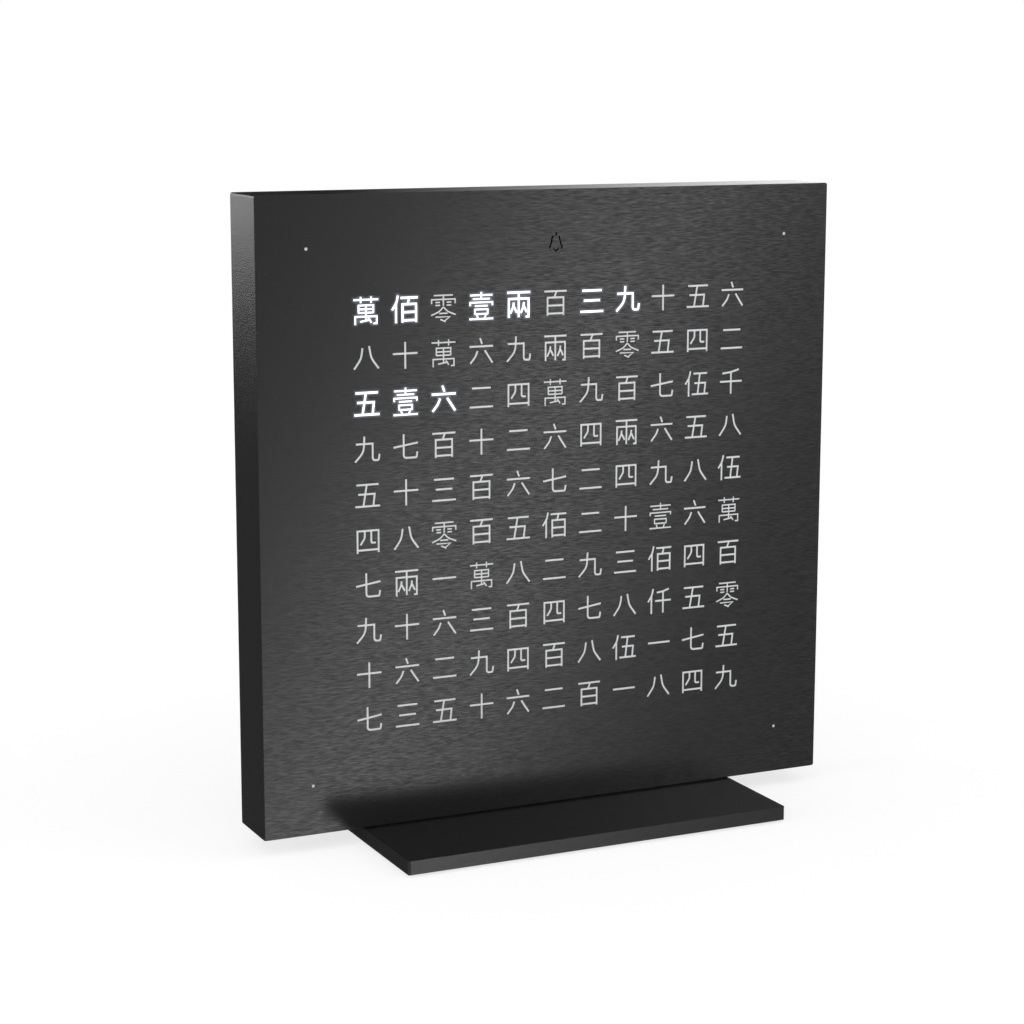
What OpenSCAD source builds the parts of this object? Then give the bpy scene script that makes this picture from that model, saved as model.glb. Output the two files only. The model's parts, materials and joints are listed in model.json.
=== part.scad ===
// Desk word clock: a square glyph face on a slim housing that stands on a flat foot plate.
// Millimetres. The origin is on the surface under the middle of the foot. X runs to the
// right along the face, Y runs from the face towards the back, Z runs up.

/* [Face] */
// Side of the square face
face_size = 135; // [130:1:160]
// Radius of the upright and level corners of the face, housing and rear cover
corner_r = 0.5; // [0.2:0.1:1.2]
// Thickness of the metal front cover
cover_t = 1; // [0.8:0.1:1.6]
// Air under the front cover, so that it slides off over the foot plate
cover_lift = 0.3; // [0.2:0.1:0.8]
// Thickness of the opal panel bonded behind the cover
diffuser_t = 1.5; // [1:0.1:2.5]
// Distance of a minute dot from the two edges beside it
dot_inset = 11; // [10.5:0.5:12]
// Diameter of a minute dot
dot_d = 0.9; // [0.7:0.1:1.5]
// How far a dot's peg stays behind the front of the cover
dot_recess = 0.1; // [0.05:0.05:0.3]
// Distance of the bell pictogram's centre from the top edge
bell_inset = 11.25; // [10.5:0.25:12]
// Side of the tinted window behind the bell
bell_window = 7; // [5:0.5:8]

/* [Light baffle] */
// Columns of glyphs
columns = 11; // [6:1:12]
// Rows of glyphs
rows = 10; // [6:1:10]
// Distance between columns
pitch_x = 8.71; // [7.5:0.01:9.4]
// Distance between rows
pitch_y = 9.657; // [8:0.001:10.2]
// Height of the baffle from its base to the front of its cells
baffle_h = 3.4; // [2.8:0.1:5]
// Thickness of the baffle's base plate
base_t = 0.8; // [0.6:0.1:1.2]
// Thickness of the walls between cells
cell_wall = 1; // [0.6:0.1:1.4]
// Radius of the port that an LED shines through, at the board
port_r = 1.8; // [1.7:0.05:2.2]
// How far a port flares from the board to the cell, on the radius
port_flare = 0.6; // [0.2:0.1:1]
// Wall of the tubes round the dot LEDs
tube_wall = 0.7; // [0.5:0.1:1]
// Inner side of the box round the alarm LED
bell_box = 5.2; // [4.9:0.1:6]

/* [Board] */
// Thickness of the LED board
board_t = 1.6; // [1:0.1:2]
// Room behind the board for the components
space_h = 5; // [4.7:0.1:8]
// Width of one LED
led_w = 2.8; // [2:0.1:2.9]
// Length of one LED
led_l = 1.8; // [1.5:0.1:1.9]
// Height of one LED
led_h = 0.7; // [0.4:0.1:0.8]
// Radius of the round light window in an LED
led_lens_r = 0.7; // [0.4:0.05:0.8]

/* [Housing] */
// Thickness of the four outer walls
wall_t = 2.5; // [2.1:0.1:3]
// Side of the square posts in the inner corners
post_w = 5.6; // [5.2:0.1:5.8]
// Width of the shelf that carries the board
shelf_w = 5; // [4.6:0.1:5.4]
// Thickness of the shelf
shelf_t = 1.5; // [1:0.1:2]
// Thickness of the rear cover
rear_t = 2; // [1.6:0.1:3]
// Width of the rebate round the rear cover
rebate_w = 1; // [0.5:0.1:1.4]
// Radius of a cover magnet
magnet_r = 2; // [1.5:0.1:2.2]
// Thickness of a cover magnet
magnet_t = 2; // [1:0.1:2.5]

/* [Keys and socket] */
// Distance of the key row from the top edge
key_inset = 20; // [18:0.5:24]
// Distance between keys
key_pitch = 16; // [12:0.5:24]
// Radius of a key cap
key_r = 3; // [2.2:0.1:4]
// How far a key cap stands out behind the rear cover
key_proud = 0.8; // [0.6:0.1:1.5]
// Travel of a key
key_travel = 0.4; // [0.2:0.05:0.5]
// Height of the power socket's centre over the lower edge of the housing
socket_up = 18; // [16:0.5:22]
// Width of the power socket's shell
socket_w = 8.94; // [8:0.01:10]
// Height of the power socket's shell
socket_h = 3.2; // [3:0.05:3.6]
// Wall of the power socket's shell
socket_wall = 0.3; // [0.2:0.05:0.4]

/* [Foot] */
// Width of the foot plate
foot_w = 90; // [76:1:130]
// Depth of the foot plate, front to back
foot_d = 63; // [48:1:90]
// Thickness of the foot plate
foot_t = 3; // [2.6:0.1:5]
// Distance between the two foot screws
foot_screw_span = 50; // [40:1:54]
// Radius of a foot pad
pad_r = 5; // [3:0.5:7]
// Thickness of a foot pad
pad_t = 1; // [0.8:0.1:1.4]
// How far a foot pad stands out under the foot plate
pad_proud = 0.6; // [0.3:0.1:0.7]
// Distance of a pad's centre from the two edges beside it
pad_inset = 9; // [8:0.5:12]

/* [Hidden] */
$fn = 48;

// Clearances
cut = 0.1;          // overshoot of a cutter past the face that it opens
fuse = 0.4;         // how far a boss is drawn into the wall that carries it
seat_gap = 0.05;    // under the cover, and round pieces that lie in a recess
slide_gap = 0.1;    // round a plunger, under a key flange and in front of the baffle
panel_gap = 0.25;   // round the panels that drop into the housing
key_gap = 0.15;     // round a key cap and the socket in the rear cover

// Depths behind the face
housing_front = cover_t + seat_gap;
diffuser_back = cover_t + diffuser_t;
baffle_front = diffuser_back + slide_gap;
base_front = baffle_front + baffle_h - base_t;
board_front = baffle_front + baffle_h;
board_back = board_front + board_t;
rear_front = board_back + space_h;
body_d = rear_front + rear_t;

// Plan sizes of the body, from its middle
inner_w = face_size - 2 * wall_t;
post_at = inner_w / 2 - post_w / 2;
shelf_at = inner_w / 2 - shelf_w / 2;
dot_at = face_size / 2 - dot_inset;
bell_at = face_size / 2 - bell_inset;
rim_w = 2 * dot_at + cell_wall;
key_at = face_size / 2 - key_inset;
socket_at = face_size / 2 - socket_up;
key_column = [-key_pitch, 0, key_pitch];

// Small screws: radius of the shank, radius and height of the head, radius of the hex socket
m2 = [1, 1.9, 1.2, 0.85];
m3 = [1.5, 2.8, 1.7, 1.25];
hex_depth = 0.8;
tip_gap = 0.5;      // room past a screw's tip in a blind hole
board_screw_at = 34;
board_screw_len = base_t + board_t + shelf_t;
rear_screw_depth = 4;
rear_screw_hole = rear_screw_depth + tip_gap;

// Boss that takes a foot screw
boss_w = 9;
boss_h = 4.5;
boss_front_gap = 0.5;   // behind the front of the baffle
boss_back_gap = 1;      // in front of the rear cover
boss_front = baffle_front + boss_front_gap;
boss_back = rear_front - boss_back_gap;
foot_screw_depth = 5.5;
foot_top = pad_proud + foot_t;

// Baffle and LED detail
rib_at = 26;        // of the ribs between the cells and the rim, from the middle
led_cup = 0.1;      // depth of an LED's light window

// Chips: length, width, height, leads on a side, lead pitch, lead width
driver = [9.9, 3.9, 1.5, 8, 1.27, 0.4];
controller = [7, 7, 1, 8, 0.8, 0.35];
regulator = [6.5, 3.5, 1.6, 3, 2.3, 0.7];
chip_lift = 0.1;
lead_t = 0.2;
lead_root = 0.5;    // length of a lead inside its chip, and again to its bend
lead_reach = 1;
driver_count = 4;
driver_pitch = 27;
driver_at = 6;
controller_pos = [0, 24];
regulator_pos = [16, 46];

// Crystal and capacitors
crystal_w = 10.4;
crystal_l = 3.8;
crystal_h = 3;
crystal_brim = 0.4;
crystal_base = 0.6;
crystal_pos = [-14, 28];
capacitor_r = 2;
capacitor_h = 3.6;
capacitor_base_w = 4.3;
capacitor_base_h = 0.6;
capacitor_corner = 0.5;
capacitor_waist = 0.2;
capacitor_pos = [[-16, 43], [-16, 50], [16, 36]];

// Backup cell
cell_r = 10;
cell_h = 3.2;
cell_step = 1.4;    // how much narrower the cell's lower terminal is, on the radius
cell_step_h = 0.4;
cell_floor = 0.5;
holder_wall = 1.2;
holder_h = 2.7;
holder_mouth = 16;
clip_w = 6;
clip_t = 0.25;
clip_foot = 1.5;

// The cell and the sounder lie in the lower corners, this far from the inner walls beside them
corner_part_inset = [27, 29];
corner_part_at = [inner_w / 2, inner_w / 2] - corner_part_inset;
cell_pos = [-corner_part_at[0], corner_part_at[1]];
sounder_pos = corner_part_at;

// Sounder
sounder_r = 6;
sounder_h = 3.4;
sounder_bevel = 0.4;
sounder_port_r = 1.2;
sounder_port_h = 1;
sound_hole_r = 0.6;
sound_hole_ring = 2.8;
sound_hole_turn = 60;

// Switches, keys and socket
switch_w = 6;
switch_h = 3;
switch_corner = 0.5;
switch_lead_at = 1.5;
switch_lead_w = 0.7;
plunger_r = 1.7;
plunger_in = 1;
flange_t = 0.8;
flange_w = 1;
key_chamfer = 0.4;
tongue_w = 6.7;
tongue_t = 0.7;
tongue_recess = 1;
tongue_base = 1.5;

steel = "#2b2c2e";
powder = "#27282a";
opal = "#e6e7e8";
moulding = "#17181a";
board_green = "#123c2b";
metal = "#b9bcc0";

// The body is drawn lying on its face: x to the right, y down the face, z to the back
module upright()
    translate([0, -body_d / 2, foot_top + face_size / 2]) rotate([-90, 0, 0]) children();

module at_depth(z) translate([0, 0, z]) children();

module in_corners(x, y) for (sx = [-1, 1], sy = [-1, 1]) translate([sx * x, sy * y]) children();

module at_cells()
    for (column = [0 : columns - 1], row = [0 : rows - 1])
        translate([(column - (columns - 1) / 2) * pitch_x, (row - (rows - 1) / 2) * pitch_y])
            children();

module at_board_screws() {
    in_corners(board_screw_at, shelf_at) children();
    in_corners(shelf_at, board_screw_at) children();
}

module at_foot_screws() for (side = [-1, 1]) translate([side * foot_screw_span / 2, 0]) children();

module rounded_square(w, h, r) {
    square([w - 2 * r, h], center = true);
    square([w, h - 2 * r], center = true);
    in_corners(w / 2 - r, h / 2 - r) circle(r);
}

module stadium(w, h) {
    square([w - h, h], center = true);
    for (side = [-1, 1]) translate([side * (w - h) / 2, 0]) circle(d = h);
}

// Outline of a panel that drops into the housing between the corner posts
module panel_outline(gap)
    difference() {
        square(inner_w - 2 * gap, center = true);
        in_corners(post_at, post_at) square(post_w + 2 * gap, center = true);
    }

module boss_notches()
    translate([0, inner_w / 2 - boss_h / 2]) at_foot_screws()
        square([boss_w + 2 * panel_gap, boss_h + 2 * panel_gap], center = true);

// Countersunk screw that points up, with the flat of its head at z = 0
module countersunk(size, length)
    difference() {
        rotate_extrude() polygon([
            [0, 0], [size[1], 0], [size[0], size[2]], [size[0], length], [0, length]
        ]);
        at_depth(-cut) cylinder(h = hex_depth + cut, r = size[3], $fn = 6);
    }

module countersunk_hole(size, depth)
    rotate_extrude() polygon([
        [0, -cut], [size[1] + seat_gap, -cut], [size[1] + seat_gap, 0],
        [size[0] + seat_gap, size[2]], [size[0] + seat_gap, depth], [0, depth]
    ]);

// ---- Cover body ----

module front_cover()
    color(steel) upright() difference() {
        translate([0, -cover_lift / 2]) linear_extrude(cover_t)
            rounded_square(face_size, face_size - cover_lift, corner_r);
        at_depth(-cut) in_corners(dot_at, dot_at) cylinder(h = cover_t + 2 * cut, d = dot_d);
    }

module diffuser_panel()
    color(opal) upright() {
        at_depth(cover_t) linear_extrude(diffuser_t) difference() {
            panel_outline(panel_gap);
            translate([0, -bell_at]) square(bell_window, center = true);
        }
        at_depth(dot_recess) in_corners(dot_at, dot_at)
            cylinder(h = cover_t - dot_recess + fuse, d = dot_d - 2 * seat_gap);
    }

module alarm_window()
    color("#2a2a2c") upright() at_depth(cover_t) translate([0, -bell_at])
        linear_extrude(diffuser_t) square(bell_window - 2 * seat_gap, center = true);

// ---- Housing ----

module housing_walls()
    difference() {
        at_depth(housing_front) linear_extrude(body_d - housing_front)
            rounded_square(face_size, face_size, corner_r);
        at_depth(housing_front - cut) linear_extrude(body_d)
            square(inner_w, center = true);
    }

module housing_shelf()
    at_depth(board_back) linear_extrude(shelf_t) difference() {
        square(inner_w + 2 * fuse, center = true);
        square(inner_w - 2 * shelf_w, center = true);
    }

module housing_posts()
    at_depth(housing_front) linear_extrude(rear_front - housing_front)
        in_corners(post_at + fuse / 2, post_at + fuse / 2) square(post_w + fuse, center = true);

module housing_foot_bosses()
    at_depth(boss_front) linear_extrude(boss_back - boss_front)
        translate([0, inner_w / 2 - boss_h / 2 + fuse / 2]) at_foot_screws()
            square([boss_w, boss_h + fuse], center = true);

module housing()
    color(powder) upright() difference() {
        union() {
            housing_walls();
            housing_shelf();
            housing_posts();
            housing_foot_bosses();
        }
        at_depth(rear_front) linear_extrude(rear_t + cut)
            square(inner_w + 2 * rebate_w, center = true);
        at_depth(housing_front - cut) in_corners(post_at, post_at)
            cylinder(h = magnet_t + seat_gap + cut, r = magnet_r + seat_gap);
        at_depth(rear_front - rear_screw_hole) in_corners(post_at, post_at)
            cylinder(h = rear_screw_hole + cut, r = m2[0] + seat_gap);
        at_depth(board_back - cut) at_board_screws()
            cylinder(h = shelf_t + 2 * cut, r = m2[0] + seat_gap);
        translate([0, face_size / 2 + cut, body_d / 2]) at_foot_screws() rotate([90, 0, 0])
            cylinder(h = foot_screw_depth + tip_gap + cut, r = m3[0] + seat_gap);
    }

module cover_magnets()
    color(metal) upright() at_depth(housing_front) in_corners(post_at, post_at)
        cylinder(h = magnet_t, r = magnet_r);

module rear_cover()
    color(powder) upright() difference() {
        at_depth(rear_front) linear_extrude(rear_t) difference() {
            rounded_square(inner_w + 2 * rebate_w - 2 * key_gap,
                inner_w + 2 * rebate_w - 2 * key_gap, corner_r);
            translate([0, socket_at]) stadium(socket_w + 2 * key_gap, socket_h + 2 * key_gap);
            for (x = key_column) translate([x, -key_at]) circle(key_r + key_gap);
            translate(sounder_pos) circle(sound_hole_r);
            for (turn = [0 : sound_hole_turn : 359])
                translate(sounder_pos) rotate(turn) translate([sound_hole_ring, 0])
                    circle(sound_hole_r);
        }
        at_depth(body_d) in_corners(post_at, post_at) mirror([0, 0, 1])
            countersunk_hole(m2, rear_t + cut);
    }

module rear_screws()
    color(metal) upright() at_depth(body_d) in_corners(post_at, post_at) mirror([0, 0, 1])
        countersunk(m2, rear_t + rear_screw_depth);

// ---- Light baffle ----

// Square box of walls, open at both ends
module wall_frame(w, h, wall)
    difference() {
        square([w, h], center = true);
        square([w - 2 * wall, h - 2 * wall], center = true);
    }

module baffle_cells()
    difference() {
        square([columns * pitch_x + cell_wall, rows * pitch_y + cell_wall], center = true);
        at_cells() square([pitch_x - cell_wall, pitch_y - cell_wall], center = true);
    }

// Ribs that tie the block of cells to the rim
module baffle_ribs()
    difference() {
        for (side = [-1, 1]) {
            translate([side * rib_at, 0]) square([cell_wall, 2 * dot_at], center = true);
            translate([0, side * rib_at]) square([2 * dot_at, cell_wall], center = true);
        }
        square([columns * pitch_x, rows * pitch_y], center = true);
    }

// The rim runs from dot tube to dot tube, and into the sides of the alarm LED's box
module baffle_rim()
    difference() {
        union() {
            wall_frame(rim_w, rim_w, cell_wall);
            translate([0, -bell_at]) square(bell_box + 2 * tube_wall, center = true);
        }
        translate([0, -bell_at]) square(bell_box, center = true);
    }

module dot_tubes() in_corners(dot_at, dot_at) circle(port_r + tube_wall);

// Flared port through the base plate, narrowest at the board
module port()
    at_depth(base_front) rotate_extrude() polygon([
        [0, -cut], [port_r + port_flare, -cut], [port_r + port_flare, 0],
        [port_r, base_t / 2], [port_r, base_t + cut], [0, base_t + cut]
    ]);

module light_baffle()
    color(moulding) upright() difference() {
        union() {
            at_depth(base_front) linear_extrude(base_t) difference() {
                panel_outline(panel_gap);
                boss_notches();
                at_board_screws() circle(m2[0] + slide_gap);
            }
            at_depth(baffle_front) linear_extrude(baffle_h - base_t) {
                baffle_cells();
                baffle_ribs();
                baffle_rim();
                dot_tubes();
            }
        }
        at_cells() port();
        translate([0, -bell_at]) port();
        at_depth(baffle_front - cut) in_corners(dot_at, dot_at)
            cylinder(h = baffle_h + 2 * cut, r = port_r);
    }

// ---- LED board ----

module led_board()
    color(board_green) upright() at_depth(board_front) linear_extrude(board_t) difference() {
        panel_outline(panel_gap);
        boss_notches();
        at_board_screws() circle(m2[0] + slide_gap);
    }

module led()
    at_depth(board_front - led_h) difference() {
        linear_extrude(led_h) square([led_w, led_l], center = true);
        at_depth(-cut) cylinder(h = led_cup + cut, r = led_lens_r);
    }

module glyph_leds() color(opal) upright() at_cells() led();

module dot_leds() color(opal) upright() in_corners(dot_at, dot_at) led();

module alarm_led() color(opal) upright() translate([0, -bell_at]) led();

module board_screws()
    color(metal) upright() at_depth(base_front) at_board_screws() difference() {
        union() {
            cylinder(h = board_screw_len, r = m2[0]);
            at_depth(-m2[2]) cylinder(h = m2[2], r = m2[1]);
        }
        at_depth(-m2[2] - cut) cylinder(h = hex_depth + cut, r = m2[3], $fn = 6);
    }

// ---- Components on the back of the board ----

module on_board(pos) upright() translate([pos[0], pos[1], board_back]) children();

// One bent lead: it leaves the body at mid height and ends in a foot on the board
module lead(body_h, width)
    rotate([90, 0, 0]) at_depth(-width / 2) linear_extrude(width) polygon([
        [-lead_root, body_h / 2 + lead_t], [lead_root, body_h / 2 + lead_t],
        [lead_root, lead_t], [lead_reach, lead_t], [lead_reach, 0],
        [lead_root - lead_t, 0], [lead_root - lead_t, body_h / 2], [-lead_root, body_h / 2]
    ]);

// Moulded chip with leads along its two long sides, or along all four
module chip(c, sides) {
    at_depth(chip_lift) linear_extrude(c[2]) square([c[0], c[1]], center = true);
    for (turn = sides, i = [0 : c[3] - 1])
        rotate(turn) translate([c[1] / 2, (i - (c[3] - 1) / 2) * c[4]]) lead(c[2], c[5]);
}

module led_drivers()
    color(moulding) for (i = [0 : driver_count - 1])
        on_board([(i - (driver_count - 1) / 2) * driver_pitch, driver_at])
            chip(driver, [90, 270]);

module microcontroller()
    color(moulding) on_board(controller_pos) chip(controller, [0, 90, 180, 270]);

module voltage_regulator()
    color(moulding) on_board(regulator_pos) chip(regulator, [90, 270]);

module clock_crystal()
    color(metal) on_board(crystal_pos) {
        linear_extrude(crystal_base)
            stadium(crystal_w + 2 * crystal_brim, crystal_l + 2 * crystal_brim);
        linear_extrude(crystal_h) stadium(crystal_w, crystal_l);
    }

// Metal cans on moulded bases with two cut corners; each can has a crimp low down
module smoothing_capacitors()
    color(metal) for (pos = capacitor_pos) on_board(pos) {
        crimp_z = 2 * capacitor_base_h;
        inner_r = capacitor_r - capacitor_waist;
        linear_extrude(capacitor_base_h) difference() {
            square(capacitor_base_w, center = true);
            for (side = [-1, 1]) translate([side, 1] * capacitor_base_w / 2) rotate(45)
                square(2 * capacitor_corner, center = true);
        }
        rotate_extrude() polygon([
            [0, 0], [capacitor_r, 0], [capacitor_r, crimp_z - capacitor_waist],
            [inner_r, crimp_z], [capacitor_r, crimp_z + capacitor_waist],
            [capacitor_r, capacitor_h - capacitor_waist], [inner_r, capacitor_h],
            [0, capacitor_h]
        ]);
    }

module socket_shell()
    color(metal) on_board([0, socket_at]) linear_extrude(space_h + rear_t) difference() {
        stadium(socket_w, socket_h);
        stadium(socket_w - 2 * socket_wall, socket_h - 2 * socket_wall);
    }

module socket_tongue()
    color(moulding) on_board([0, socket_at]) {
        shrink = 2 * (socket_wall + seat_gap);
        linear_extrude(tongue_base) stadium(socket_w - shrink, socket_h - shrink);
        linear_extrude(space_h + rear_t - tongue_recess)
            square([tongue_w, tongue_t], center = true);
    }

// Open-sided cup: the cell slides in through the mouth
module cell_holder()
    color(moulding) on_board(cell_pos) difference() {
        cylinder(h = holder_h, r = cell_r + holder_wall);
        at_depth(cell_floor) cylinder(h = holder_h, r = cell_r + slide_gap);
        at_depth(cell_floor) translate([-cell_r - holder_wall, 0])
            linear_extrude(holder_h) square([cell_r, holder_mouth], center = true);
    }

module coin_cell()
    color(metal) on_board(cell_pos) at_depth(cell_floor) rotate_extrude() polygon([
        [0, 0], [cell_r - cell_step, 0], [cell_r - cell_step, cell_step_h],
        [cell_r, cell_step_h * 2], [cell_r, cell_h - cell_step_h / 2],
        [cell_r - cell_step_h / 2, cell_h], [0, cell_h]
    ]);

// Sprung strap over the cell, with a foot on the board at each side
module cell_clip()
    color(metal) on_board(cell_pos) rotate([90, 0, 90]) at_depth(-clip_w / 2)
        linear_extrude(clip_w) {
            half = cell_r + holder_wall + seat_gap;
            top = cell_floor + cell_h;
            difference() {
                translate([-half - clip_t, 0]) square([2 * (half + clip_t), top + clip_t]);
                translate([-half, -cut]) square([2 * half, top + cut]);
            }
            for (side = [-1, 1]) translate([side * (half + clip_foot / 2), clip_t / 2])
                square([clip_foot, clip_t], center = true);
        }

module sounder()
    color(moulding) on_board(sounder_pos) rotate_extrude() polygon([
        [0, 0], [sounder_r, 0], [sounder_r, sounder_h - sounder_bevel],
        [sounder_r - sounder_bevel, sounder_h], [sounder_port_r, sounder_h],
        [sounder_port_r, sounder_h - sounder_port_h], [0, sounder_h - sounder_port_h]
    ]);

// ---- Keys ----

module switch_bodies()
    color(moulding) for (x = key_column) on_board([x, -key_at]) {
        difference() {
            linear_extrude(switch_h) rounded_square(switch_w, switch_w, switch_corner);
            at_depth(switch_h - plunger_in - key_travel - slide_gap)
                cylinder(h = switch_h, r = plunger_r + slide_gap);
        }
        for (turn = [0, 180], side = [-1, 1]) rotate(turn)
            translate([switch_w / 2, side * switch_lead_at]) lead(lead_reach, switch_lead_w);
    }

module plunger(x)
    color("#8d3030") on_board([x, -key_at]) at_depth(switch_h - plunger_in)
        cylinder(h = space_h - switch_h + plunger_in - flange_t - slide_gap, r = plunger_r);

module key(x)
    color(moulding) on_board([x, -key_at]) at_depth(space_h - flange_t - slide_gap) {
        top = flange_t + slide_gap + rear_t + key_proud;
        flange_r = key_r + flange_w;
        rotate_extrude() polygon([
            [0, 0], [flange_r, 0], [flange_r, flange_t], [key_r, flange_t],
            [key_r, top - key_chamfer], [key_r - key_chamfer, top], [0, top]
        ]);
    }

module hour_plunger() plunger(key_column[0]);
module minute_plunger() plunger(key_column[1]);
module alarm_plunger() plunger(key_column[2]);
module hour_key() key(key_column[0]);
module minute_key() key(key_column[1]);
module alarm_key() key(key_column[2]);

// ---- Foot ----

module at_pads() in_corners(foot_w / 2 - pad_inset, foot_d / 2 - pad_inset) children();

module foot_plate()
    color(powder) difference() {
        at_depth(pad_proud) linear_extrude(foot_t) rounded_square(foot_w, foot_d, corner_r);
        at_depth(pad_proud - cut) at_pads()
            cylinder(h = pad_t - pad_proud + cut, r = pad_r + slide_gap);
        at_depth(pad_proud) at_foot_screws() countersunk_hole(m3, foot_t + cut);
    }

module foot_pads() color("#1b1b1c") at_pads() cylinder(h = pad_t, r = pad_r);

module foot_screws()
    color(metal) at_depth(pad_proud) at_foot_screws() countersunk(m3, foot_t + foot_screw_depth);

front_cover();
diffuser_panel();
alarm_window();
housing();
cover_magnets();
light_baffle();
led_board();
glyph_leds();
dot_leds();
alarm_led();
board_screws();
led_drivers();
microcontroller();
voltage_regulator();
clock_crystal();
smoothing_capacitors();
socket_shell();
socket_tongue();
cell_holder();
coin_cell();
cell_clip();
sounder();
switch_bodies();
hour_plunger();
minute_plunger();
alarm_plunger();
hour_key();
minute_key();
alarm_key();
rear_cover();
rear_screws();
foot_plate();
foot_screws();
foot_pads();
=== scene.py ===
import json
import math

import bpy
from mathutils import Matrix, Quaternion, Vector
from mathutils.geometry import delaunay_2d_cdt


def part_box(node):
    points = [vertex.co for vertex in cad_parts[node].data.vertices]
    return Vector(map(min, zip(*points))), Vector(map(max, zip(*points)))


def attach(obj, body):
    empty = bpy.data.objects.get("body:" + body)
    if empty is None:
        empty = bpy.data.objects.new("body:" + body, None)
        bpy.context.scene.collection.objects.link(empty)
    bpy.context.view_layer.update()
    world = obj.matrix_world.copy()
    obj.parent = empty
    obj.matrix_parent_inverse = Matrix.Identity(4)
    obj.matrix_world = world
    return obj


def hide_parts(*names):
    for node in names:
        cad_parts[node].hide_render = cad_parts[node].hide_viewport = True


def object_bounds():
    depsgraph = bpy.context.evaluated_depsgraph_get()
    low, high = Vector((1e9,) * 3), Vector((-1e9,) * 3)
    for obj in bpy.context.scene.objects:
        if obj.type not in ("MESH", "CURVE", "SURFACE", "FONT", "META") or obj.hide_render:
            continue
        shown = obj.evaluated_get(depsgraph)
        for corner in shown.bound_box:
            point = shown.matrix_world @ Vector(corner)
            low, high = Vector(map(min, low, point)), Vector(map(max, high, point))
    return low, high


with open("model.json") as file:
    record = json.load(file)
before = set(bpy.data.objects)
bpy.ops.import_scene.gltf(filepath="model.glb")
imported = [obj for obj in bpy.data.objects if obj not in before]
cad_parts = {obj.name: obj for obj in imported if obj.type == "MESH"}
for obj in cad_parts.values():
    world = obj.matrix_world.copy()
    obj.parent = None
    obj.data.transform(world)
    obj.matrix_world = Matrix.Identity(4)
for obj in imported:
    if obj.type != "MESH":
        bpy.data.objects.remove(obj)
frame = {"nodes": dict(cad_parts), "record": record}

# Looks of a desk word clock. Lengths are in metres unless a name ends in _MM.
CAD_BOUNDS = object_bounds()
MM = 0.001
WHITE = (1, 1, 1, 1)


def toward(azimuth, elevation):
    """Direction from the clock in degrees: azimuth 0 is in front of the face, 90 to its right."""
    a, e = math.radians(azimuth), math.radians(elevation)
    return Vector((math.sin(a) * math.cos(e), -math.cos(a) * math.cos(e), math.sin(e)))


def add_object(name, data):
    item = bpy.data.objects.new(name, data)
    bpy.context.scene.collection.objects.link(item)
    return item


# ---- Camera, at the photograph's viewing angle in degrees ----
CAMERA_AT = (-0.23179, -0.47624, 0.16479)
CAMERA_AZIMUTH, CAMERA_ELEVATION, CAMERA_ROLL = -25.2895, 10.3747, 0.0759
CAMERA_CLIP = (0.01, 100.0)
SENSOR_MM = 36.0
FOCAL_PX, PICTURE_PX = 2453.13, 1024.0


def make_camera():
    data = bpy.data.cameras.new("camera")
    data.sensor_width = SENSOR_MM
    data.lens = FOCAL_PX * SENSOR_MM / PICTURE_PX
    data.clip_start, data.clip_end = CAMERA_CLIP
    camera = add_object("camera", data)
    aim = (-toward(CAMERA_AZIMUTH, CAMERA_ELEVATION)).to_track_quat("-Z", "Y")
    camera.rotation_mode = "QUATERNION"
    camera.rotation_quaternion = aim @ Quaternion((0, 0, 1), math.radians(CAMERA_ROLL))
    camera.location = CAMERA_AT
    bpy.context.scene.camera = camera


# ---- Flat layout of the face, in millimetres: x to the right, z up ----
COLUMNS, ROWS = 11, 10
PITCH_X_MM, PITCH_Z_MM = 8.71, 9.657
EM_MM = 6.1
STROKE_MM, FINE_STROKE_MM = 0.43, 0.33
FINE_FROM = 9                            # glyphs of this many strokes or more are drawn finer
LIT_STROKE_EXTRA_MM = 0.03
PAINTED_GLOW_REACH_MM = 0.7                      # how far the painted glow round a lit glyph spreads over the face
PAINTED_GLOW_RINGS_MM = (0.2, PAINTED_GLOW_REACH_MM)     # the mesh is parted here, to carry the painted glow's falloff
ARC_STEP, ARC_STEPS_LEAST = math.radians(15), 2
ARC_LEG_SHARE = 0.48                     # the most that an arc takes of the shorter leg
STRAIGHT_HALF = math.radians(89)         # a corner with a wider half angle stays as it is
MITRE_LIMIT = 0.5                        # a mitre is at most 1 / this times the stroke's width
DOT_D_MM, DOT_SIDES = 0.9, 32
LIP_D_MM, LIP_DEPTH = 0.7, 0.06 * MM     # the front of a dot's hole is narrower than its bore
BELL_EM_MM, BELL_STROKE_MM = 4.1, 0.34
CORNER_R_MM, CORNER_STEPS = 0.5, 6
EDGE_R_MM, EDGE_STEPS = 0.1, 3
INFILL_RECESS = 0.05 * MM
LED_W_MM, LED_L_MM = 2.8, 1.8            # package of an LED, in x and in z
WINDOW_R_MM, WINDOW_SIDES = 0.66, 24
WINDOW_FRONT, WINDOW_BACK = 0.03 * MM, 0.09 * MM     # behind the front of the package

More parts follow.
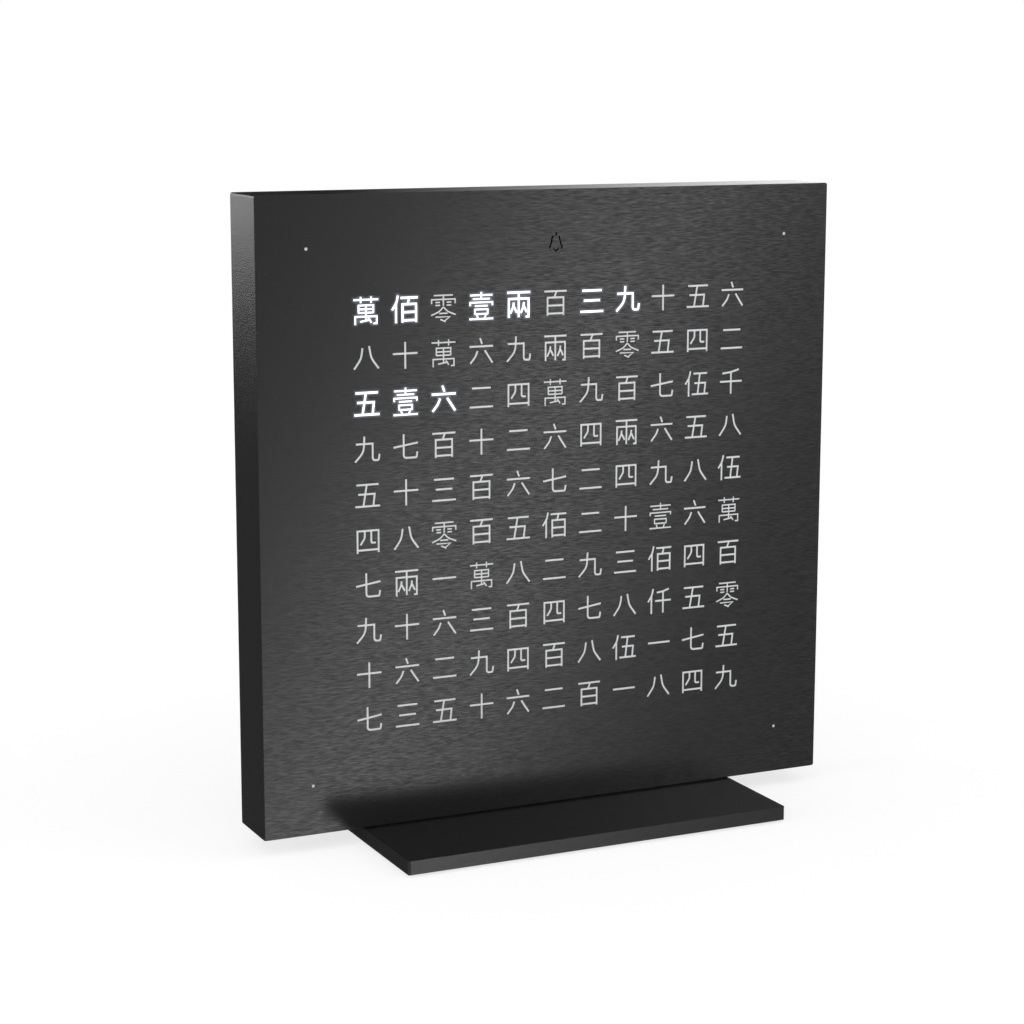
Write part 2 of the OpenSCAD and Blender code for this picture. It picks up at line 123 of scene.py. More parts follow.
# Strokes are parted by semicolons and run through points x,y of this square, y down.
# A third number rounds the corner at that point.
SQUARE = 100
PERSON = "24,4 19,28,40 3,52; 17,33 17,97; "
GLYPHS = {
    "1": "5,48 95,48",
    "2": "14,20 86,20; 5,86 95,86",
    "3": "12,14 88,14; 18,49 82,49; 5,88 95,88",
    "4": "11,93 11,15 89,15 89,93; 11,82 89,82; 38,15 38,40,20 22,64; 62,15 62,58,6 79,58",
    "5": "9,13 91,13; 47,13 34,88; 15,46 76,46 71,88; 4,88 96,88",
    "6": "45,4 53,25; 5,33 95,33; 36,48 28,68,40 8,92; 63,47 76,67,60 93,92",
    "7": "4,50 95,37; 42,5 42,88,12 90,88,4 93,68",
    "8": "36,18 31,54,50 5,90; 60,12 68,54,50 95,90",
    "9": "8,30 70,30 70,88,10 92,88,4 95,67; 40,4 37,58,50 5,92",
    "X": "4,44 96,44; 50,4 50,96",
    "C": "6,11 94,11; 54,11 45,33; 19,96 19,33 81,33 81,96; 19,61 81,61; 19,89 81,89",
    "M": "83,7 50,16,80 14,20; 4,50 96,50; 50,17 50,96",
    "W": "5,13 95,13; 31,3 31,24; 69,3 69,24; 23,58 23,32 77,32 77,58; 23,45 77,45;"
         "23,57 77,57; 50,32 50,83; 11,97 11,70 89,70 89,94 77,94; 29,87 66,81; 58,75 70,91",
    "0": "14,9 86,9; 6,38 6,23 94,23 94,38; 50,9 50,46; 20,33 38,33; 62,33 80,33;"
         "20,43 38,43; 62,43 80,43; 50,49 34,65,30 4,77; 50,49 66,65,30 96,77;"
         "34,71 66,71; 20,83 74,83 55,97; 38,91 58,100",
    "L": "6,10 94,10; 50,10 50,96; 12,97 12,32 88,32 88,95 77,95; 31,45 29,60,30 18,82;"
         "31,58 43,80; 70,45 68,60,30 58,82; 70,58 81,80",
    "Y": "50,3 50,28; 8,14 92,14; 18,27 82,27; 8,50 8,39 92,39 92,50; 26,51 74,51;"
         "26,80 26,63 74,63 74,80; 26,79 74,79; 33,83 38,94; 67,83 62,94; 5,96 95,96",
    "F": PERSON + "36,14 93,14; 63,14 54,89; 40,49 86,49 82,89; 30,89 98,89",
    "P": PERSON + "34,12 97,12; 66,12 60,34; 41,96 41,34 91,34 91,96; 41,61 91,61; 41,89 91,89",
    "Q": PERSON + "89,8 65,16,60 39,19; 32,50 98,50; 65,17 65,96",
}
FACE_ROWS = [
    "WP0YLC39X56", "8XW69LC0542", "5Y624W9C7FM", "97CX264L658", "5X3C672498F",
    "480C5P2XY6W", "7L1W8293P4C", "9X63C478Q50", "X6294C8F175", "735X62C1849",
]
LIT = {(0, 0), (0, 1), (0, 3), (0, 4), (0, 6), (0, 7), (2, 0), (2, 1), (2, 2)}
BELL = ("47,1 54,4,4 54,12,5 46,14; 36,17 28,27,12 25,50,20 16,72,8 16,82;"
        "68,17 74,42,20 80,63,20 88,75,6 80,82; 36,80 40,87; 64,80 60,89,8 50,96,10 42,92")


def parse_strokes(text):
    """Strokes of a glyph: each a list of (x, y, corner radius)."""
    strokes = []
    for part in text.split(";"):
        points = [[float(n) for n in word.split(",")] for word in part.split()]
        strokes.append([(p[0], p[1], p[2] if len(p) > 2 else 0.0) for p in points])
    return strokes


def round_corner(before, corner, after, radius):
    """Points of the arc that rounds a corner, or the corner itself."""
    to_before, to_after = (before - corner), (after - corner)
    half = to_before.angle(to_after) / 2
    if radius <= 0 or half > STRAIGHT_HALF:
        return [corner]
    reach = min(radius / math.tan(half), ARC_LEG_SHARE * min(to_before.length, to_after.length))
    start = corner + to_before.normalized() * reach
    end = corner + to_after.normalized() * reach
    steps = max(ARC_STEPS_LEAST, math.ceil((math.pi - 2 * half) / ARC_STEP))
    points = []
    for i in range(steps + 1):
        t = i / steps
        points.append(start * (1 - t) ** 2 + corner * 2 * t * (1 - t) + end * t ** 2)
    return points


def centre_line(stroke, em):
    """Middle line of a stroke in millimetres, from the middle of its cell, z up."""
    middle = SQUARE / 2
    corners = [Vector(((x - middle) * em / SQUARE, (middle - y) * em / SQUARE)) for x, y, _ in stroke]
    line = [corners[0]]
    for i in range(1, len(corners) - 1):
        radius = stroke[i][2] * em / SQUARE
        line += round_corner(corners[i - 1], corners[i], corners[i + 1], radius)
    return line + [corners[-1]]


def stroke_outline(line, width, overrun=0.0):
    """Outline of a stroke with flat ends and mitred corners."""
    line = list(line)
    line[0] = line[0] + (line[0] - line[1]).normalized() * overrun
    line[-1] = line[-1] + (line[-1] - line[-2]).normalized() * overrun
    left, right = [], []
    for i, point in enumerate(line):
        legs = []
        if i > 0:
            legs.append((point - line[i - 1]).normalized())
        if i < len(line) - 1:
            legs.append((line[i + 1] - point).normalized())
        along = sum(legs, Vector((0, 0))).normalized()
        side = Vector((-along.y, along.x))
        reach = width / 2 / max(MITRE_LIMIT, abs(Vector((-legs[0].y, legs[0].x)).dot(side)))
        left.append(point + side * reach)
        right.append(point - side * reach)
    return right + left[::-1]


def circle(centre, radius, sides):
    turns = [2 * math.pi * i / sides for i in range(sides)]
    return [centre + Vector((math.cos(t), math.sin(t))) * radius for t in turns]


def rounded_rectangle(low, high, radius):
    """Outline through the arcs of its four corners."""
    points = []
    corners = [(high.x, high.y), (low.x, high.y), (low.x, low.y), (high.x, low.y)]
    for quarter, (x, z) in enumerate(corners):
        centre = Vector((x - math.copysign(radius, x - (low.x + high.x) / 2),
                         z - math.copysign(radius, z - (low.y + high.y) / 2)))
        for i in range(CORNER_STEPS + 1):
            t = math.pi / 2 * (quarter + i / CORNER_STEPS)
            points.append(centre + Vector((math.cos(t), math.sin(t))) * radius)
    return points


def cell_centre(row, column, middle):
    return middle + Vector(((column - (COLUMNS - 1) / 2) * PITCH_X_MM,
                            ((ROWS - 1) / 2 - row) * PITCH_Z_MM))


def box_middle(low, high):
    """Middle of a box in metres, seen from the front, in millimetres."""
    return Vector((low.x + high.x, low.z + high.z)) / 2 / MM


def dot_centres():
    """Middles of the four dots, in the bores that carry the pegs of the diffuser."""
    low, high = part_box("dot_leds")
    x = high.x / MM - LED_W_MM / 2
    z_low, z_high = low.z / MM + LED_L_MM / 2, high.z / MM - LED_L_MM / 2
    return [Vector((side * x, z)) for side in (-1, 1) for z in (z_low, z_high)]


def glyph_lines(row, column, middle):
    """Middle lines of a glyph's strokes, and their width."""
    strokes = parse_strokes(GLYPHS[FACE_ROWS[row][column]])
    width = FINE_STROKE_MM if len(strokes) >= FINE_FROM else STROKE_MM
    if (row, column) in LIT:
        width += LIT_STROKE_EXTRA_MM
    centre = cell_centre(row, column, middle)
    return [[centre + p for p in centre_line(stroke, EM_MM)] for stroke in strokes], width


def bell_outlines(centre):
    outlines = []
    for stroke in parse_strokes(BELL):
        line = [centre + p for p in centre_line(stroke, BELL_EM_MM)]
        outlines.append(stroke_outline(line, BELL_STROKE_MM))
    return outlines


# ---- Front cover: a plate with every glyph cut through it, and the opal that fills them ----
CDT_TRIANGLES, CDT_EPSILON = 0, 1e-5
REGION_ORDER = ["lit", "unlit", "open", "lip", "plate", "rim"]     # the first that covers a place


class FaceLayout:
    """Triangles of the face, each with the kind of region that it lies in."""

    def __init__(self):
        low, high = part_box("front_cover")
        self.front, self.back = low.y, high.y
        flat_low = Vector((low.x, low.z)) / MM
        flat_high = Vector((high.x, high.z)) / MM
        self.middle = Vector((0.0, flat_high.y - (flat_high.x - flat_low.x) / 2))
        edge = Vector((EDGE_R_MM, EDGE_R_MM))
        rim = rounded_rectangle(flat_low, flat_high, CORNER_R_MM)
        inset = rounded_rectangle(flat_low + edge, flat_high - edge, CORNER_R_MM - EDGE_R_MM)
        self.lit_lines = []
        self.triangulate([("rim", rim), ("plate", inset)] + self.glyph_regions() + hole_regions())

    def glyph_regions(self):
        """Strokes of every glyph, and rings round the lit ones, which carry their painted glow."""
        regions = []
        for row in range(ROWS):
            for column in range(COLUMNS):
                lines, width = glyph_lines(row, column, self.middle)
                lit = (row, column) in LIT
                kind = "lit" if lit else "unlit"
                regions += [(kind, stroke_outline(line, width)) for line in lines]
                if lit:
                    self.lit_lines += [(line, width) for line in lines]
                    # Rings of plate round a lit stroke carry the falloff of its painted glow.
                    regions += [("plate", stroke_outline(line, width + 2 * ring, ring))
                                for line in lines for ring in PAINTED_GLOW_RINGS_MM]
        return regions

    def triangulate(self, regions):
        """Parts the face into triangles. The first two regions are its rim and its flat front."""
        points, polygons = [], []
        for _, outline in regions:
            polygons.append(list(range(len(points), len(points) + len(outline))))
            points += outline
        self.points, _, triangles, old_points, _, sources = delaunay_2d_cdt(
            points, [], polygons, CDT_TRIANGLES, CDT_EPSILON)
        place = {old: new for new, olds in enumerate(old_points) for old in olds}
        self.rim, self.inset = ([place[i] for i in polygons[n]] for n in (0, 1))
        self.regions = {kind: [] for kind in REGION_ORDER}
        for triangle, source in zip(triangles, sources):
            kinds = {regions[i][0] for i in source}
            if kinds:
                kind = next(k for k in REGION_ORDER if k in kinds)
                self.regions[kind].append(upward(triangle, self.points))

    def glow(self, point):
        """Painted glow: 1 at the edge of a lit stroke, falling to 0 at the reach of the glow."""
        nearest = PAINTED_GLOW_REACH_MM
        for line, width in self.lit_lines:
            for start, end in zip(line, line[1:]):
                along = end - start
                t = min(1.0, max(0.0, (point - start).dot(along) / along.length_squared))
                nearest = min(nearest, (start + along * t - point).length - width / 2)
        return 1.0 - max(0.0, nearest) / PAINTED_GLOW_REACH_MM


def hole_regions():
    """The bell, and the dots with their lips."""
    regions = [("open", outline) for outline in bell_outlines(box_middle(*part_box("alarm_window")))]
    regions += [("lip", circle(c, DOT_D_MM / 2, DOT_SIDES)) for c in dot_centres()]
    regions += [("open", circle(c, LIP_D_MM / 2, DOT_SIDES)) for c in dot_centres()]
    return regions


def upward(triangle, points):
    """The triangle in the order that turns anticlockwise."""
    a, b, c = (points[i] for i in triangle)
    turn = (b - a).cross(c - a)
    return list(triangle) if turn > 0 else list(triangle)[::-1]


def open_edges(triangles):
    """Edges that only one of the triangles has, in its order."""
    edges = {(t[i], t[(i + 1) % 3]) for t in triangles for i in range(3)}
    return [(a, b) for a, b in edges if (b, a) not in edges]


def slab(points, triangles, front, back):
    """Closed solid between two depths whose outline is that of the triangles."""
    used = sorted({i for t in triangles for i in t})
    place = {old: new for new, old in enumerate(used)}
    flat = [points[i] * MM for i in used]
    verts = [(p.x, front, p.y) for p in flat] + [(p.x, back, p.y) for p in flat]
    shift = len(used)
    faces = []
    for triangle in triangles:
        a, b, c = (place[i] for i in triangle)
        faces.append((a, b, c))
        faces.append((c + shift, b + shift, a + shift))
    for start, end in open_edges(triangles):
        a, b = place[start], place[end]
        faces.append((b, a, a + shift, b + shift))
    return verts, faces


def cover_plate(layout):
    """Plate with every glyph cut through it and a rounded edge round its front.

    Returns its points, its faces with the flat sides last, the number of the first of those,
    and the painted glow at each point.
    """
    verts, faces, known = [], [], {}

    def vertex(key, flat, depth):
        if key not in known:
            known[key] = len(verts)
            verts.append((flat.x * MM, depth, flat.y * MM))
        return known[key]

    def front(i):
        return vertex(("front", i), layout.points[i], layout.front)

    def back(i):
        return vertex(("back", i), layout.points[i], layout.back)

    def ring(step, k):
        """Point k of a ring of the rounded edge: step 0 lies in the front face."""
        turn = math.pi / 2 * step / EDGE_STEPS
        inner, outer = layout.points[layout.inset[k]], layout.points[layout.rim[k]]
        depth = layout.front + EDGE_R_MM * MM * (1 - math.cos(turn))
        return vertex(("ring", step, k), inner.lerp(outer, math.sin(turn)), depth)

    plate, rim = layout.regions["plate"], layout.regions["rim"]
    faces += [tuple(front(i) for i in t) for t in plate]
    faces += [tuple(back(i) for i in t[::-1]) for t in plate + rim]
    outer = set(layout.rim)
    for a, b in open_edges(plate + rim):
        if not (a in outer and b in outer):
            faces.append((front(b), front(a), back(a), back(b)))
    count = len(layout.rim)
    for k in range(count):
        known[("ring", 0, k)] = front(layout.inset[k])
    for k in range(count):
        after = (k + 1) % count
        for step in range(EDGE_STEPS):
            faces.append((ring(step, after), ring(step, k), ring(step + 1, k), ring(step + 1, after)))
    sides_from = len(faces)
    for k in range(count):
        after = (k + 1) % count
        faces.append((ring(EDGE_STEPS, after), ring(EDGE_STEPS, k),
                      back(layout.rim[k]), back(layout.rim[after])))
    # Painted glow at each front point, from its distance to the nearest lit stroke.
    glow = [0.0] * len(verts)
    for key, place in known.items():
        if key[0] == "front":
            glow[place] = layout.glow(layout.points[key[1]])
    return verts, faces, sides_from, glow


def make_piece(name, verts, faces, body, material):
    """A mesh that rides on a body, with the finish that it is given."""
    mesh = bpy.data.meshes.new(name)
    mesh.from_pydata(verts, [], faces)
    mesh.validate()
    mesh.materials.append(material)
    piece = add_object(name, mesh)
    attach(piece, body)
    return piece


def build_cover(finishes):
    """The dressed cover. Returns the middle of its face."""
    layout = FaceLayout()
    verts, faces, sides_from, glow = cover_plate(layout)
    plate = make_piece("cover_plate", verts, faces, "cover", finishes["face"])
    plate.data.materials.append(finishes["housing"])
    for polygon in plate.data.polygons[sides_from:]:
        polygon.material_index = 1
    # The painted glow round the lit glyphs rides on the plate's points.
    plate.data.attributes.new("glow", "FLOAT", "POINT").data.foreach_set("value", glow)
    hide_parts("front_cover")
    lip_back = layout.front + LIP_DEPTH
    verts, faces = slab(layout.points, layout.regions["lip"], layout.front, lip_back)
    make_piece("dot_lips", verts, faces, "cover", finishes["face"])
    infill_front = layout.front + INFILL_RECESS
    for name, kind, slot in (("unlit_glyphs", "unlit", "opal"), ("lit_glyphs", "lit", "lit_opal")):
        verts, faces = slab(layout.points, layout.regions[kind], infill_front, layout.back)
        make_piece(name, verts, faces, "cover", finishes[slot])
    return layout.middle


# ---- Light windows of the LEDs, lit behind the lit glyphs ----

def discs(centres, front, back):
    """One mesh of closed discs."""
    verts, faces = [], []
    for centre in centres:
        ring = [p * MM for p in circle(centre, WINDOW_R_MM, WINDOW_SIDES)]
        first = len(verts)
        verts += [(p.x, front, p.y) for p in ring] + [(p.x, back, p.y) for p in ring]
        near = [first + i for i in range(WINDOW_SIDES)]
        far = [i + WINDOW_SIDES for i in near]
        faces += [tuple(near), tuple(far[::-1])]
        for i in range(WINDOW_SIDES):
            after = (i + 1) % WINDOW_SIDES
            faces.append((near[after], near[i], far[i], far[after]))
    return verts, faces


def build_led_windows(finishes, middle):
    lit, unlit = [], dot_centres()
    for row in range(ROWS):
        for column in range(COLUMNS):
            group = lit if (row, column) in LIT else unlit
            group.append(cell_centre(row, column, middle))
    unlit.append(box_middle(*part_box("alarm_led")))
    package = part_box("glyph_leds")[0].y
    for name, centres, slot, finish in (
            ("lit_windows", lit, "lit_opal", "lit_opal"),
            ("phosphor_windows", unlit, "led", "phosphor")):
        verts, faces = discs(centres, package + WINDOW_FRONT, package + WINDOW_BACK)
        make_piece(name, verts, faces, "body", finishes[finish])


# ---- Shader nodes ----
NOISE_RANGE = (0.25, 0.75)                                # noise seldom leaves it
MIX_FACTOR, MIX_A, MIX_B, MIX_COLOR = 0, 6, 7, 2          # sockets of a Mix node for colours


def new_material(name, **values):
    """A material with a Principled shader whose own sockets hold what is the same all over."""
    material = bpy.data.materials.new(name)
    material.use_nodes = True
    tree = material.node_tree
    shader = tree.nodes["Principled BSDF"]
    for key, value in values.items():
        shader.inputs[key.replace("_", " ")].default_value = value
    return material, tree, shader


def blank_material(name):
    """A material without nodes."""
    material = bpy.data.materials.new(name)
    material.use_nodes = True
    material.node_tree.nodes.clear()
    return material, material.node_tree


def add(tree, kind, inputs=None, **settings):
    """One node, with its settings and with values or links for its inputs."""
    node = tree.nodes.new("ShaderNode" + kind)
    for key, value in settings.items():
        setattr(node, key, value)
    for key, value in (inputs or {}).items():
        if isinstance(value, bpy.types.NodeSocket):
            tree.links.new(value, node.inputs[key])
        else:
            node.inputs[key].default_value = value
    return node


def maths(tree, operation, first, second):
    return add(tree, "Math", {0: first, 1: second}, operation=operation).outputs[0]


def remap(tree, value, source, target):
    """The value, carried from one range to another."""
    node = add(tree, "MapRange", {
        "Value": value, "From Min": source[0], "From Max": source[1],
        "To Min": target[0], "To Max": target[1],
    })
    return node.outputs["Result"]


def position(tree, axis):
    """Where a point lies along an axis of its object."""
    coordinates = add(tree, "TexCoord").outputs["Object"]
    return add(tree, "SeparateXYZ", {0: coordinates}).outputs[axis]


def grain(tree, size_mm, detail):
    """Noise from 0 to 1 whose grains are that wide, deep and tall, in millimetres."""
    coordinates = add(tree, "TexCoord").outputs["Object"]
    scale = [1 / (s * MM) for s in size_mm]
    mapping = add(tree, "Mapping", {"Vector": coordinates, "Scale": scale})
    noise = add(tree, "TexNoise", {"Vector": mapping.outputs[0], "Scale": 1.0, "Detail": detail})
    return noise.outputs["Fac"]


def spread(tree, noise, low, high):
    """The noise, stretched between two ends."""
    return remap(tree, noise, NOISE_RANGE, (low, high))


def shade(tree, shader, value, color, change):
    """Base colour that the value, from 0 to 1, makes darker and lighter by a share."""
    darker = [c * (1 - change) for c in color] + [1]
    lighter = [c * (1 + change) for c in color] + [1]
    mix = add(tree, "Mix", {MIX_FACTOR: value, MIX_A: darker, MIX_B: lighter}, data_type="RGBA")
    tree.links.new(mix.outputs[MIX_COLOR], shader.inputs["Base Color"])


def roughen(tree, shader, noise, low, high):
    """Roughness that follows the noise between two ends."""
    tree.links.new(spread(tree, noise, low, high), shader.inputs["Roughness"])


def relief(tree, shader, value, depth_mm):
    """Bump of that depth."""
    bump = add(tree, "Bump", {"Height": value, "Distance": depth_mm * MM, "Strength": 1.0})
    tree.links.new(bump.outputs["Normal"], shader.inputs["Normal"])


# ---- Finish of the face: black brushed metal, with a painted glow round the lit glyphs ----
FACE_COLOR = (0.0206, 0.0206, 0.021)
FACE_METAL, FACE_IOR = 0.5, 1.258
FACE_BRUSHING, FACE_BRUSHING_TURN = 0.5, 0.25
STREAK_MM, STREAK_DETAIL = (2.0, 1.0, 0.17), 3.5
STREAK_SHADE = 0.9
STREAK_MIDDLE = 0.5
STREAK_REACH = (0.1, 0.5)                # to each side of it, at the face's left and right edge
FACE_HALF = CAD_BOUNDS[1][0]             # the face is the widest piece, with its middle at x 0
STREAK_ROUGHNESS = (0.3, 0.13)
STREAK_DEPTH_MM = 0.004
# Painted glow: the metal emits a faint bluish light round the lit glyphs, as if their light spread
# over it.
PAINTED_GLOW_STRENGTH, PAINTED_GLOW_FALLOFF = 0.3, 3.0
PAINTED_GLOW_COLOR = (0.74, 0.8, 1.0, 1)


def streak_end(tree, side):
    """One end of the streaks' shade: they're deeper towards the right of the face."""
    ends = [STREAK_MIDDLE + side * reach for reach in STREAK_REACH]
    return remap(tree, position(tree, 0), (-FACE_HALF, FACE_HALF), ends)


def brushed_face():
    material, tree, shader = new_material(
        "brushed_black", Metallic=FACE_METAL, IOR=FACE_IOR, Anisotropic=FACE_BRUSHING,
        Anisotropic_Rotation=FACE_BRUSHING_TURN, Emission_Color=PAINTED_GLOW_COLOR)
    streaks = grain(tree, STREAK_MM, STREAK_DETAIL)
    depth = spread(tree, streaks, streak_end(tree, -1), streak_end(tree, 1))
    shade(tree, shader, depth, FACE_COLOR, STREAK_SHADE)
    roughen(tree, shader, streaks, *STREAK_ROUGHNESS)
    relief(tree, shader, streaks, STREAK_DEPTH_MM)
    # Painted glow: emission from the value that the plate's points carry, falling off away from the
    # lit strokes.
    share = add(tree, "Attribute", attribute_name="glow").outputs["Fac"]
    falloff = maths(tree, "POWER", share, PAINTED_GLOW_FALLOFF)
    strength = maths(tree, "MULTIPLY", falloff, PAINTED_GLOW_STRENGTH)
    tree.links.new(strength, shader.inputs["Emission Strength"])
    material.cycles.emission_sampling = "NONE"
    return material


# ---- Other finishes ----
FINE_DETAIL, SOFT_DETAIL = 3.0, 2.0
COAT_GRAIN_MM, COAT_SHADE = (0.5, 0.55, 0.34), 0.25
MOULDED_ROUGHNESS = (0.85, 1.15)         # shares of the mean roughness, as in the next line
METAL_ROUGHNESS = (0.7, 1.3)
METAL_SHADE, METAL_DEPTH_MM = 0.12, 0.004
LIT_COLOR, LIT_ROUGHNESS = (0.9, 0.9, 0.92), 0.5
LIT_LIGHT, LIT_STRENGTH = (0.93, 0.96, 1.0, 1), 1.1
LIT_GRAIN_MM, LIT_SHADE = (0.6, 0.6, 0.6), 0.03

# Slot: name, colour, depth of the grain in millimetres, roughness, index of refraction
COATS = {
    "housing": ("housing_coat", (0.0095, 0.0095, 0.0098), 0.052, (0.07, 0.14), 1.4),
    "foot": ("foot_coat", (0.0122, 0.0122, 0.0125), 0.022, (0.16, 0.26), 1.31),
}
# Slot: name, colour, roughness, size and depth of the grain in millimetres, share of its shade
MOULDINGS = {
    "opal": ("opal", (0.77, 0.78, 0.79), 0.45, 0.8, 0.004, 0.03),
    "tinted_window": ("tinted_window", (0.006, 0.006, 0.007), 0.25, 1.5, 0.002, 0.08),
    "moulding": ("moulding", (0.012, 0.012, 0.013), 0.6, 0.4, 0.01, 0.08),
    "board": ("solder_resist", (0.01, 0.07, 0.03), 0.35, 2.0, 0.01, 0.2),
    "led": ("led_package", (0.8, 0.8, 0.78), 0.4, 0.3, 0.003, 0.08),
    "phosphor": ("phosphor", (0.75, 0.6, 0.1), 0.35, 0.2, 0.003, 0.08),
    "chip": ("chip_moulding", (0.018, 0.018, 0.019), 0.55, 0.2, 0.006, 0.08),
    "plunger": ("plunger_red", (0.3, 0.03, 0.02), 0.4, 0.4, 0.01, 0.08),
    "key": ("key_cap", (0.02, 0.02, 0.021), 0.5, 0.25, 0.012, 0.08),
    "rear_cover": ("rear_texture", (0.019, 0.019, 0.02), 0.5, 0.5, 0.06, 0.25),
    "pad": ("rubber", (0.016, 0.016, 0.016), 0.8, 0.5, 0.02, 0.08),
}
# Slot: name, colour, roughness, size of the grain in millimetres
METALS = {
    "magnet": ("nickel", (0.6, 0.58, 0.54), 0.2, (0.5, 0.5, 0.5)),
    "screw": ("black_oxide", (0.05, 0.05, 0.052), 0.4, (0.3, 0.3, 0.3)),
    "contact_metal": ("tinned", (0.62, 0.6, 0.57), 0.3, (3.0, 0.4, 0.4)),
}


def powder_coat(name, color, depth_mm, roughness, ior):
    material, tree, shader = new_material(name, Roughness=roughness[1], IOR=ior)
    grains = grain(tree, COAT_GRAIN_MM, FINE_DETAIL)
    shade(tree, shader, spread(tree, grains, 0, 1), color, COAT_SHADE)
    roughen(tree, shader, grains, *roughness)
    relief(tree, shader, grains, depth_mm)
    return material


def moulded(name, color, roughness, grain_mm, depth_mm, change):
    material, tree, shader = new_material(name, Roughness=roughness)
    grains = grain(tree, [grain_mm] * 3, FINE_DETAIL)
    shade(tree, shader, spread(tree, grains, 0, 1), color, change)
    roughen(tree, shader, grains, *(roughness * share for share in MOULDED_ROUGHNESS))
    relief(tree, shader, grains, depth_mm)
    return material


def plain_metal(name, color, roughness, grain_mm):
    material, tree, shader = new_material(name, Metallic=1.0)
    grains = grain(tree, grain_mm, FINE_DETAIL)
    shade(tree, shader, spread(tree, grains, 0, 1), color, METAL_SHADE)
    roughen(tree, shader, grains, *(roughness * share for share in METAL_ROUGHNESS))
    relief(tree, shader, grains, METAL_DEPTH_MM)
    return material


def glowing_opal():
    material, tree, shader = new_material(
        "lit_opal", Roughness=LIT_ROUGHNESS, Base_Color=(*LIT_COLOR, 1),
        Emission_Color=LIT_LIGHT, Emission_Strength=LIT_STRENGTH)
    grains = grain(tree, LIT_GRAIN_MM, SOFT_DETAIL)
    shade(tree, shader, spread(tree, grains, 0, 1), LIT_COLOR, LIT_SHADE)
    material.cycles.emission_sampling = "NONE"
    return material


def make_finishes():
    """A material for every slot, and one for the yellow windows of the LEDs."""
    finishes = {"face": brushed_face(), "lit_opal": glowing_opal()}
    for make, table in ((powder_coat, COATS), (moulded, MOULDINGS), (plain_metal, METALS)):
        for slot, values in table.items():
            finishes[slot] = make(*values)
    return finishes


def dress_nodes(finishes):
    """Gives every CAD node the finish of its slot."""
    for part in frame["record"]["subparts"]:
        node = frame["nodes"][part["node"]]
        node.data.materials.clear()
        node.data.materials.append(finishes[part["material_slot"]])


# ---- Stage ----
FLOOR_HALF = 5.0
FLOOR_COLOR = (0.3, 0.3, 0.3, 1)         # for rays that show the floor, with its glow
FLOOR_GLOW = 0.75
FLOOR_BOUNCE = (0.8, 0.8, 0.8, 1)        # for diffuse rays, which only carry its light
WORLD_DIFFUSE, WORLD_SEEN = 0.45, 1.0    # strengths for the same two kinds of rays


def seen_ray(tree):
    """1 for camera, glossy and transmission rays, else 0."""
    path = add(tree, "LightPath").outputs
    pair = maths(tree, "MAXIMUM", path["Is Camera Ray"], path["Is Glossy Ray"])
    return maths(tree, "MAXIMUM", pair, path["Is Transmission Ray"])


def make_world():
    bpy.context.scene.view_settings.view_transform = "Standard"
    world = bpy.data.worlds.new("studio")
    bpy.context.scene.world = world
    world.use_nodes = True
    tree = world.node_tree
    background = tree.nodes["Background"]
    background.inputs["Color"].default_value = WHITE
    strength = remap(tree, seen_ray(tree), (0.0, 1.0), (WORLD_DIFFUSE, WORLD_SEEN))
    tree.links.new(strength, background.inputs["Strength"])


def add_sheet(name, half_w, half_h, material):
    """A rectangle in its own XY plane."""
    corners = [(-half_w, -half_h, 0), (half_w, -half_h, 0), (half_w, half_h, 0), (-half_w, half_h, 0)]
    mesh = bpy.data.meshes.new(name)
    mesh.from_pydata(corners, [], [(0, 1, 2, 3)])
    mesh.materials.append(material)
    return add_object(name, mesh)


def make_floor():
    material, tree = blank_material("pale_floor")
    material.cycles.emission_sampling = "NONE"
    soft = add(tree, "BsdfDiffuse", {"Color": FLOOR_COLOR})
    glow = add(tree, "Emission", {"Color": WHITE, "Strength": FLOOR_GLOW})
    bounce = add(tree, "BsdfDiffuse", {"Color": FLOOR_BOUNCE})
    seen = add(tree, "AddShader", {0: soft.outputs[0], 1: glow.outputs[0]})
    mix = add(tree, "MixShader", {0: seen_ray(tree), 1: bounce.outputs[0], 2: seen.outputs[0]})
    add(tree, "OutputMaterial", {"Surface": mix.outputs[0]})
    floor = add_sheet("floor", FLOOR_HALF, FLOOR_HALF, material)
    floor.visible_glossy = False


# ---- Light: soft suns for the colours, and far panels that only gloss shows. Degrees ----
SUN_ANGLE = 60
PANEL_DISTANCE = 8.0
PANEL_AIM = Vector((0, 0, 0.07))
# Axis of a panel, shares of its radiance at the two ends, and power of the rise between them
BAND_GRADE = (1, 1.7, 0.52, 1.0)
TOP_GRADE = (0, 0.1, 1.0, 2.15)
# Name, azimuth, elevation, strength
SUNS = [
    ("key", -20, 50, 0.75),
    ("fill", 60, 35, 0.7),
    ("side", -90, 5, 2.6),
]
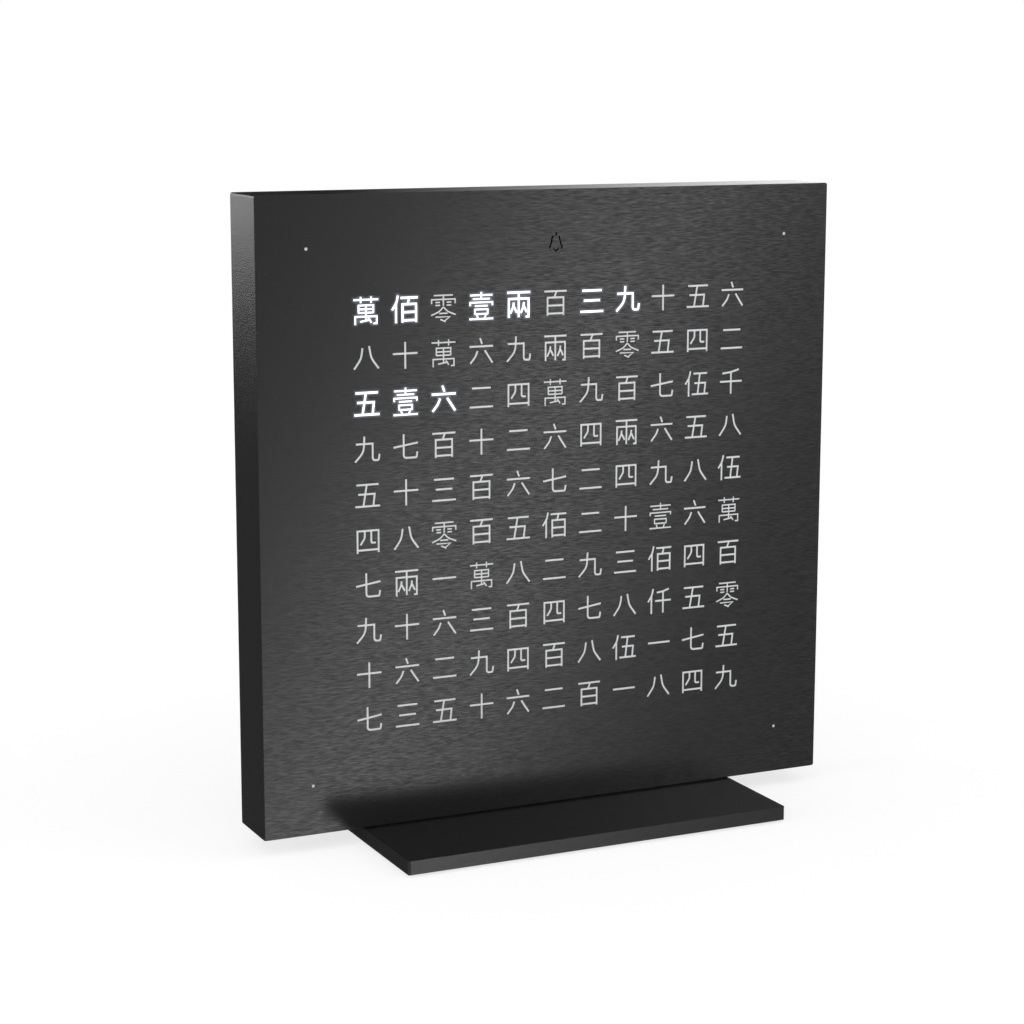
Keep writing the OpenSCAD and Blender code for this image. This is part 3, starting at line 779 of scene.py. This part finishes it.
# Name, azimuth, elevation, width, height, tilt, radiance, grade. The flags are dim, and keep
# the white of the world out of the gloss.
PANELS = [
    ("band", 22.0, -15.9, 5.5, 62, 25.7, 7.65, BAND_GRADE),
    ("left_box", -161, 14.5, 60, 36, 0, 1.9, None),
    ("left_flag", -161, -27.5, 60, 48, 0, 0.075, None),
    ("top_grade", 153, 20, 14, 60, 0, 1.65, TOP_GRADE),
    ("top_flag", 175, 20, 40, 60, 0, 0.03, None),
    ("high_box", 37, 26, 14, 24, 0, 12.5, None),
]


def make_sun(name, azimuth, elevation, strength):
    """A soft sun that gloss and the camera don't show."""
    data = bpy.data.lights.new(name, "SUN")
    data.energy = strength
    data.angle = math.radians(SUN_ANGLE)
    lamp = add_object(name, data)
    lamp.rotation_mode = "QUATERNION"
    lamp.rotation_quaternion = toward(azimuth, elevation).to_track_quat("Z", "Y")
    lamp.visible_glossy = False
    lamp.visible_camera = False


def panel_material(name, radiance, grade, reaches):
    """Light of one level, or graded along an axis between the panel's two ends."""
    material, tree = blank_material(name)
    strength = radiance
    if grade:
        axis, start, end, power = grade
        reach = reaches[axis]
        share = remap(tree, position(tree, axis), (-reach, reach), (start, end))
        strength = maths(tree, "MULTIPLY", maths(tree, "POWER", share, power), radiance)
    glow = add(tree, "Emission", {"Color": WHITE, "Strength": strength})
    add(tree, "OutputMaterial", {"Surface": glow.outputs[0]})
    return material


def make_panel(name, azimuth, elevation, width, height, tilt, radiance, grade):
    """A far panel that faces the clock and that only gloss shows."""
    reaches = [PANEL_DISTANCE * math.tan(math.radians(size / 2)) for size in (width, height)]
    panel = add_sheet(name, *reaches, panel_material(name, radiance, grade, reaches))
    back = -toward(azimuth, elevation)
    turn = Quaternion((0, 0, 1), math.radians(tilt))
    panel.location = PANEL_AIM - back * PANEL_DISTANCE
    panel.rotation_mode = "QUATERNION"
    panel.rotation_quaternion = back.to_track_quat("Z", "Y") @ turn
    panel.visible_camera = False
    panel.visible_diffuse = False
    panel.visible_shadow = False
    panel.visible_transmission = False


def make_lights():
    for values in SUNS:
        make_sun(*values)
    for values in PANELS:
        make_panel(*values)


make_camera()
make_world()
make_floor()
make_lights()
finishes = make_finishes()
dress_nodes(finishes)
build_led_windows(finishes, build_cover(finishes))
